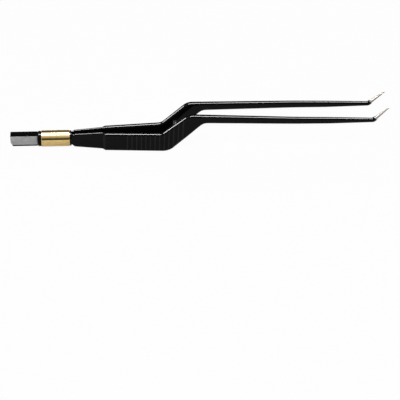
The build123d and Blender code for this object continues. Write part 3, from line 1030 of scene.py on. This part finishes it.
@dataclass
class Arms:
    """Both sprung arms: coats, tips, bare steel and the closing stop."""

    lines: ArmLines = field(default_factory=ArmLines)

    def build(self, finishes: Finishes) -> None:
        """Builds and hands over every piece of both arms."""
        origin = front_face()
        for side in Side:
            for maker, node, slot, material in (
                (Coat, "insulation", "arm_coat", finishes.coat),
                (Spring, "arm", "spring_steel", finishes.steel),
                (Tip, "tip", "tip_metal", finishes.tip),
            ):
                piece = maker(side, self.lines).piece(origin)
                hand_over(piece, f"{side.word}_{node}", side.body, material)
        stop = Stop(self.lines).piece(origin)
        hand_over(stop, "stop_button", Side.LEFT.body, finishes.stop)


# Stage


class Role(Enum):
    """What a lamp is there for."""

    LIGHT = "lights the surfaces"
    REFLECTION = "shows in the gloss"


@dataclass
class Studio:
    """Pale floor, soft lamps and the camera at the photograph's angle."""

    azimuth: float = -6.547
    elevation: float = 39.643
    roll: float = 2.792
    distance: float = 767.2
    lens: float = 114.53
    sensor: float = 36.0
    clip: tuple[float, float] = (0.05, 20.0)
    aim: tuple[float, float, float] = (75.773, 0.0, -48.73)
    floor_half: float = 3.0
    floor_white: float = 0.8
    world_strength: float = 0.2
    camera_glow: float = 0.96
    floor_glow: float = 0.1
    gloss_peak: float = 1.7
    gloss_falloff: tuple[tuple[float, float], ...] = (
        (0.0, 0.5), (0.03, 0.5), (0.06, 0.03), (0.18, 0.04), (0.24, 0.26), (0.32, 0.38), (0.39, 0.62),
        (0.46, 1.0), (0.64, 0.95), (0.7, 0.5), (0.765, 0.09), (0.85, 0.02),
    )

    def camera(self) -> None:
        """Camera whose axes are right, up and back, rolled about its own line of sight."""
        a, e, r = (radians(v) for v in (self.azimuth, self.elevation, self.roll))
        back = Vector((sin(a) * cos(e), -cos(a) * cos(e), sin(e)))
        right = Vector((cos(a), sin(a), 0))
        up = back.cross(right)
        across = right * cos(r) + up * sin(r)
        upwards = up * cos(r) - right * sin(r)
        aim = front_face() + Vector(self.aim) * MM
        data = bpy.data.cameras.new("photo_camera")
        data.lens = self.lens
        data.sensor_width = self.sensor
        data.clip_start, data.clip_end = self.clip
        camera = bpy.data.objects.new("photo_camera", data)
        camera.matrix_world = Matrix.Translation(aim + back * self.distance * MM) @ Matrix(
            (across, upwards, back)).transposed().to_4x4()
        bpy.context.scene.collection.objects.link(camera)
        bpy.context.scene.camera = camera

    def lamp(self, name: str, place: tuple[float, float, float], size: tuple[float, float],
             power: float, role: Role) -> None:
        """Soft rectangular lamp that points at the middle of the instrument.

        Args:
            name: Name of the lamp.
            place: Where it stands, in metres.
            size: Its width and height in metres.
            power: Its power in watts.
            role: Whether it lights the surfaces or shows as a reflection in the gloss.
        """
        data = bpy.data.lights.new(name, "AREA")
        data.shape = "RECTANGLE"
        data.size, data.size_y = size
        data.energy = power
        lamp = bpy.data.objects.new(name, data)
        lamp.location = place
        lamp.rotation_euler = Vector(place).to_track_quat("Z", "Y").to_euler()
        lamp.visible_camera = False
        lamp.visible_diffuse = role is Role.LIGHT
        lamp.visible_glossy = role is Role.REFLECTION
        bpy.context.scene.collection.objects.link(lamp)

    def floor(self) -> None:
        """Wide pale floor that the grips stand on, white to the camera and paler in reflections."""
        h = self.floor_half
        mesh = bpy.data.meshes.new("floor")
        mesh.from_pydata([(-h, -h, 0), (h, -h, 0), (h, h, 0), (-h, h, 0)], [], [(0, 1, 2, 3)])
        floor = bpy.data.objects.new("floor", mesh)
        bpy.context.scene.collection.objects.link(floor)
        shader = Shader("pale_floor")
        colour = (self.floor_white, self.floor_white, self.floor_white, 1)
        shader.set(Base_Color=colour, Roughness=1.0, Specular_IOR_Level=0.0)
        path = shader.add("ShaderNodeLightPath").outputs
        seen = shader.maths("MULTIPLY", path["Is Camera Ray"], self.camera_glow)
        mirrored = shader.maths("MULTIPLY", path["Is Glossy Ray"], self.floor_glow)
        glow = shader.add("ShaderNodeEmission", Strength=1.0)
        mix = shader.add("ShaderNodeMixShader")
        shader.join(shader.maths("ADD", seen, mirrored), mix.inputs[0])
        shader.join(shader.surface.outputs[0], mix.inputs[1])
        shader.join(glow.outputs[0], mix.inputs[2])
        shader.join(mix.outputs[0], shader.output.inputs["Surface"])
        dress(floor, shader.material)

    def world(self) -> None:
        """Surroundings: white to the camera, even as light, and soft bands in the gloss.

        The gloss sees gloss_peak times gloss_falloff at atan2(z, -y) / pi, which runs from 0 at the
        front's horizon over 0.5 overhead to 1 at the rear's.
        """
        world = bpy.data.worlds.new("studio")
        world.use_nodes = True
        nodes = Nodes(world.node_tree)
        parts = nodes.add("ShaderNodeSeparateXYZ")
        nodes.join(nodes.add("ShaderNodeTexCoord").outputs["Generated"], parts.inputs[0])
        front = nodes.maths("MULTIPLY", parts.outputs["Y"], -1.0)
        angle = nodes.maths("ARCTAN2", parts.outputs["Z"], front)
        ramp = nodes.add("ShaderNodeValToRGB")
        nodes.join(nodes.span(angle, 0.0, 1.0, (0.0, pi)), ramp.inputs["Fac"])
        elements = ramp.color_ramp.elements
        while len(elements) < len(self.gloss_falloff):
            elements.new(1.0)
        for element, (place, value) in zip(elements, self.gloss_falloff):
            element.position = place
            element.color = (value, value, value, 1)
        gloss = nodes.maths("MULTIPLY", ramp.outputs["Color"], self.gloss_peak)
        path = nodes.add("ShaderNodeLightPath").outputs
        plain = nodes.span(path["Is Glossy Ray"], self.world_strength, gloss, (0.0, 1.0))
        background = nodes.tree.nodes["Background"]
        nodes.join(nodes.span(path["Is Camera Ray"], plain, 1.0, (0.0, 1.0)), background.inputs["Strength"])
        background.inputs["Color"].default_value = (1, 1, 1, 1)
        bpy.context.scene.world = world

    def build(self) -> None:
        """Sets up the stage, the lamps, the world and the camera."""
        self.floor()
        self.world()
        self.lamp("key_softbox", (-0.15, -0.55, 0.9), (0.5, 0.35), 7.0, Role.LIGHT)
        self.lamp("rear_softbox", (0.2, 0.9, 0.7), (0.6, 0.3), 3.0, Role.LIGHT)
        self.lamp("sky_panel", (0.0, 0.12, 0.89), (0.8, 0.24), 72.0, Role.REFLECTION)
        self.lamp("left_panel", (-0.295, 0.093, 0.166), (0.1, 0.09), 2.8, Role.REFLECTION)
        self.camera()
        bpy.context.scene.view_settings.view_transform = "Standard"


def main() -> None:
    """Builds every sub-assembly round the frame."""
    logging.basicConfig(level=logging.INFO, format="%(name)s: %(message)s")
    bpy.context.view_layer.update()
    finishes = Finishes()
    Sleeve().build(finishes)
    Plug().build(finishes)
    Arms().build(finishes)
    Studio().build()


if __name__ == "__main__":
    main()
